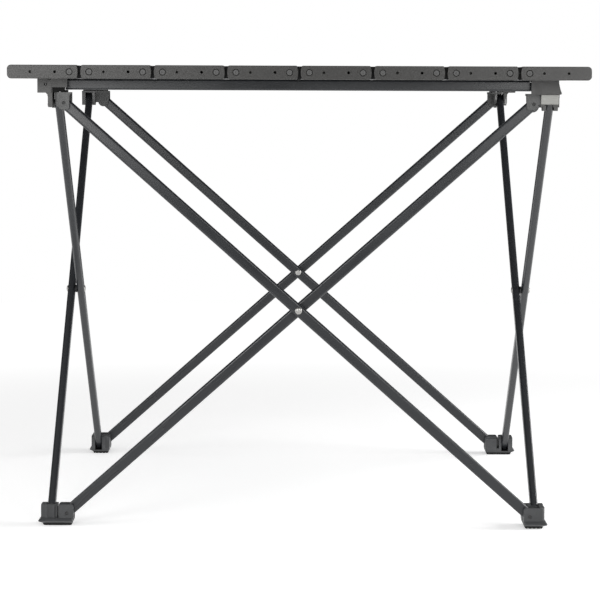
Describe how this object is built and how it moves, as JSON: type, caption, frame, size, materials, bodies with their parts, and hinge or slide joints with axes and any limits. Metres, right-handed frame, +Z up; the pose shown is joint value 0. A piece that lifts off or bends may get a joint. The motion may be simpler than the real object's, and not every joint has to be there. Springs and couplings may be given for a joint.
{
  "type": "camping table",
  "caption": "Square camping table with a roll-up slatted top on a folding frame of crossed tube legs, with plastic hubs, feet and snap brackets.",
  "frame": {"origin": "on the floor under the middle of the table top", "axes": "+Z up; the slats run along Y with the front at -Y; +X to the right seen from the front"},
  "size_m": [0.7, 0.7, 0.5665],
  "materials": {
    "slat": "dark anodised aluminium extrusion, satin, with fine lines along its length",
    "cap": "warm dark grey moulded plastic, matte",
    "link": "dark grey moulded plastic, matte, with bare pin ends",
    "bracket": "dark grey moulded plastic, matte",
    "rail": "charcoal powder coat, satin",
    "hub": "dark grey moulded plastic, matte",
    "foot": "near-black moulded plastic, matte",
    "leg": "charcoal powder coat, satin"
  },
  "bodies": {
    "frame_root": {"hub_fl": "hub"},
    "front_outer_leg": {"leg_front_outer": "leg"},
    "front_inner_leg": {"leg_front_inner": "leg"},
    "front_right_hub": {"hub_fr": "hub"},
    "front_left_foot": {"foot_fl": "foot"},
    "front_right_foot": {"foot_fr": "foot"},
    "right_outer_leg": {"leg_right_outer": "leg"},
    "right_inner_leg": {"leg_right_inner": "leg"},
    "rear_right_hub": {"hub_rr": "hub"},
    "rear_right_foot": {"foot_rr": "foot"},
    "rear_outer_leg": {"leg_rear_outer": "leg"},
    "rear_inner_leg": {"leg_rear_inner": "leg"},
    "left_inner_leg": {"leg_left_inner": "leg"},
    "left_outer_leg": {"leg_left_outer": "leg"},
    "rear_left_hub": {"hub_rl": "hub"},
    "rear_left_foot": {"foot_rl": "foot"},
    "top_1": {"slat_1": "slat", "cap_front_1": "cap", "cap_rear_1": "cap", "bracket_fl": "bracket", "bracket_rl": "bracket"},
    "link_1": {"link_front_1": "link", "link_rear_1": "link"},
    "top_2": {"slat_2": "slat", "cap_front_2": "cap", "cap_rear_2": "cap"},
    "link_2": {"link_front_2": "link", "link_rear_2": "link"},
    "top_3": {"slat_3": "slat", "cap_front_3": "cap", "cap_rear_3": "cap"},
    "link_3": {"link_front_3": "link", "link_rear_3": "link"},
    "top_4": {"slat_4": "slat", "cap_front_4": "cap", "cap_rear_4": "cap"},
    "link_4": {"link_front_4": "link", "link_rear_4": "link"},
    "top_5": {"slat_5": "slat", "cap_front_5": "cap", "cap_rear_5": "cap"},
    "link_5": {"link_front_5": "link", "link_rear_5": "link"},
    "top_6": {"slat_6": "slat", "cap_front_6": "cap", "cap_rear_6": "cap"},
    "link_6": {"link_front_6": "link", "link_rear_6": "link"},
    "top_7": {"slat_7": "slat", "cap_front_7": "cap", "cap_rear_7": "cap"},
    "link_7": {"link_front_7": "link", "link_rear_7": "link"},
    "top_8": {"slat_8": "slat", "cap_front_8": "cap", "cap_rear_8": "cap", "bracket_fr": "bracket", "bracket_rr": "bracket"},
    "front_rail": {"rail_front": "rail"},
    "rear_rail": {"rail_rear": "rail"}
  },
  "joints": [
    {"name": "fold", "type": "hinge", "parent": "frame_root", "child": "front_outer_leg", "pos_m": [-0.2855, -0.3061, 0.521], "axis": [0, 1, 0], "range_deg": [0, 46]},
    {"name": "cross_front", "type": "hinge", "parent": "front_outer_leg", "child": "front_inner_leg", "pos_m": [0, -0.2939, 0.26825], "axis": [0, -1, 0], "range_deg": [0, 92]},
    {"name": "pivot_hub_fr", "type": "hinge", "parent": "front_inner_leg", "child": "front_right_hub", "pos_m": [0.2855, -0.2939, 0.521], "axis": [0, 1, 0], "range_deg": [0, 46]},
    {"name": "pivot_foot_fl", "type": "hinge", "parent": "front_inner_leg", "child": "front_left_foot", "pos_m": [-0.2855, -0.2939, 0.0155], "axis": [0, 1, 0], "range_deg": [0, 46]},
    {"name": "pivot_foot_fr", "type": "hinge", "parent": "front_outer_leg", "child": "front_right_foot", "pos_m": [0.2855, -0.3061, 0.0155], "axis": [0, -1, 0], "range_deg": [0, 46]},
    {"name": "pivot_right_outer", "type": "hinge", "parent": "front_right_hub", "child": "right_outer_leg", "pos_m": [0.3061, -0.2855, 0.521], "axis": [-1, 0, 0], "range_deg": [0, 46]},
    {"name": "cross_right", "type": "hinge", "parent": "right_outer_leg", "child": "right_inner_leg", "pos_m": [0.2939, 0, 0.26825], "axis": [1, 0, 0], "range_deg": [0, 92]},
    {"name": "pivot_hub_rr", "type": "hinge", "parent": "right_inner_leg", "child": "rear_right_hub", "pos_m": [0.2939, 0.2855, 0.521], "axis": [-1, 0, 0], "range_deg": [0, 46]},
    {"name": "pivot_foot_rr", "type": "hinge", "parent": "right_outer_leg", "child": "rear_right_foot", "pos_m": [0.3061, 0.2855, 0.0155], "axis": [1, 0, 0], "range_deg": [0, 46]},
    {"name": "pivot_rear_outer", "type": "hinge", "parent": "rear_right_hub", "child": "rear_outer_leg", "pos_m": [0.2855, 0.3061, 0.521], "axis": [0, -1, 0], "range_deg": [0, 46]},
    {"name": "cross_rear", "type": "hinge", "parent": "rear_outer_leg", "child": "rear_inner_leg", "pos_m": [0, 0.2939, 0.26825], "axis": [0, 1, 0], "range_deg": [0, 92]},
    {"name": "pivot_left_inner", "type": "hinge", "parent": "frame_root", "child": "left_inner_leg", "pos_m": [-0.2939, -0.2855, 0.521], "axis": [-1, 0, 0], "range_deg": [0, 46]},
    {"name": "cross_left", "type": "hinge", "parent": "left_inner_leg", "child": "left_outer_leg", "pos_m": [-0.3061, 0, 0.26825], "axis": [1, 0, 0], "range_deg": [0, 92]},
    {"name": "pivot_foot_rl", "type": "hinge", "parent": "left_inner_leg", "child": "rear_left_foot", "pos_m": [-0.2939, 0.2855, 0.0155], "axis": [1, 0, 0], "range_deg": [0, 46]},
    {"name": "pivot_hub_rl", "type": "hinge", "parent": "left_outer_leg", "child": "rear_left_hub", "pos_m": [-0.3061, 0.2855, 0.521], "axis": [-1, 0, 0], "range_deg": [0, 46]},
    {"name": "top_lift", "type": "slide", "parent": "frame_root", "child": "top_1", "axis": [0, 0, 1], "range_m": [0, 0.08]},
    {"name": "roll", "type": "hinge", "parent": "top_1", "child": "link_1", "pos_m": [-0.27555, 0, 0.55825], "axis": [0, -1, 0], "range_deg": [0, 22]},
    {"name": "roll_1b", "type": "hinge", "parent": "link_1", "child": "top_2", "pos_m": [-0.25185, 0, 0.55825], "axis": [0, -1, 0], "range_deg": [0, 22]},
    {"name": "roll_2a", "type": "hinge", "parent": "top_2", "child": "link_2", "pos_m": [-0.18765, 0, 0.55825], "axis": [0, -1, 0], "range_deg": [0, 22]},
    {"name": "roll_2b", "type": "hinge", "parent": "link_2", "child": "top_3", "pos_m": [-0.16395, 0, 0.55825], "axis": [0, -1, 0], "range_deg": [0, 22]},
    {"name": "roll_3a", "type": "hinge", "parent": "top_3", "child": "link_3", "pos_m": [-0.09975, 0, 0.55825], "axis": [0, -1, 0], "range_deg": [0, 22]},
    {"name": "roll_3b", "type": "hinge", "parent": "link_3", "child": "top_4", "pos_m": [-0.07605, 0, 0.55825], "axis": [0, -1, 0], "range_deg": [0, 22]},
    {"name": "roll_4a", "type": "hinge", "parent": "top_4", "child": "link_4", "pos_m": [-0.01185, 0, 0.55825], "axis": [0, -1, 0], "range_deg": [0, 22]},
    {"name": "roll_4b", "type": "hinge", "parent": "link_4", "child": "top_5", "pos_m": [0.01185, 0, 0.55825], "axis": [0, -1, 0], "range_deg": [0, 22]},
    {"name": "roll_5a", "type": "hinge", "parent": "top_5", "child": "link_5", "pos_m": [0.07605, 0, 0.55825], "axis": [0, -1, 0], "range_deg": [0, 22]},
    {"name": "roll_5b", "type": "hinge", "parent": "link_5", "child": "top_6", "pos_m": [0.09975, 0, 0.55825], "axis": [0, -1, 0], "range_deg": [0, 22]},
    {"name": "roll_6a", "type": "hinge", "parent": "top_6", "child": "link_6", "pos_m": [0.16395, 0, 0.55825], "axis": [0, -1, 0], "range_deg": [0, 22]},
    {"name": "roll_6b", "type": "hinge", "parent": "link_6", "child": "top_7", "pos_m": [0.18765, 0, 0.55825], "axis": [0, -1, 0], "range_deg": [0, 22]},
    {"name": "roll_7a", "type": "hinge", "parent": "top_7", "child": "link_7", "pos_m": [0.25185, 0, 0.55825], "axis": [0, -1, 0], "range_deg": [0, 22]},
    {"name": "roll_7b", "type": "hinge", "parent": "link_7", "child": "top_8", "pos_m": [0.27555, 0, 0.55825], "axis": [0, -1, 0], "range_deg": [0, 22]},
    {"name": "rail_front_turn", "type": "hinge", "parent": "top_1", "child": "front_rail", "pos_m": [-0.289, -0.3, 0.54225], "axis": [0, 0, 1], "range_deg": [0, 90]},
    {"name": "rail_rear_turn", "type": "hinge", "parent": "top_1", "child": "rear_rail", "pos_m": [-0.273, 0.3, 0.54225], "axis": [0, 0, -1], "range_deg": [0, 90]}
  ],
  "couplings": [
    {"joint": "cross_front", "follows": "fold", "ratio": 2},
    {"joint": "pivot_hub_fr", "follows": "fold", "ratio": 1},
    {"joint": "pivot_foot_fl", "follows": "fold", "ratio": 1},
    {"joint": "pivot_foot_fr", "follows": "fold", "ratio": 1},
    {"joint": "pivot_right_outer", "follows": "fold", "ratio": 1},
    {"joint": "cross_right", "follows": "fold", "ratio": 2},
    {"joint": "pivot_hub_rr", "follows": "fold", "ratio": 1},
    {"joint": "pivot_foot_rr", "follows": "fold", "ratio": 1},
    {"joint": "pivot_rear_outer", "follows": "fold", "ratio": 1},
    {"joint": "cross_rear", "follows": "fold", "ratio": 2},
    {"joint": "pivot_left_inner", "follows": "fold", "ratio": 1},
    {"joint": "cross_left", "follows": "fold", "ratio": 2},
    {"joint": "pivot_foot_rl", "follows": "fold", "ratio": 1},
    {"joint": "pivot_hub_rl", "follows": "fold", "ratio": 1},
    {"joint": "roll_1b", "follows": "roll", "ratio": 1},
    {"joint": "roll_2a", "follows": "roll", "ratio": 1},
    {"joint": "roll_2b", "follows": "roll", "ratio": 1},
    {"joint": "roll_3a", "follows": "roll", "ratio": 1},
    {"joint": "roll_3b", "follows": "roll", "ratio": 1},
    {"joint": "roll_4a", "follows": "roll", "ratio": 1},
    {"joint": "roll_4b", "follows": "roll", "ratio": 1},
    {"joint": "roll_5a", "follows": "roll", "ratio": 1},
    {"joint": "roll_5b", "follows": "roll", "ratio": 1},
    {"joint": "roll_6a", "follows": "roll", "ratio": 1},
    {"joint": "roll_6b", "follows": "roll", "ratio": 1},
    {"joint": "roll_7a", "follows": "roll", "ratio": 1},
    {"joint": "roll_7b", "follows": "roll", "ratio": 1}
  ]
}
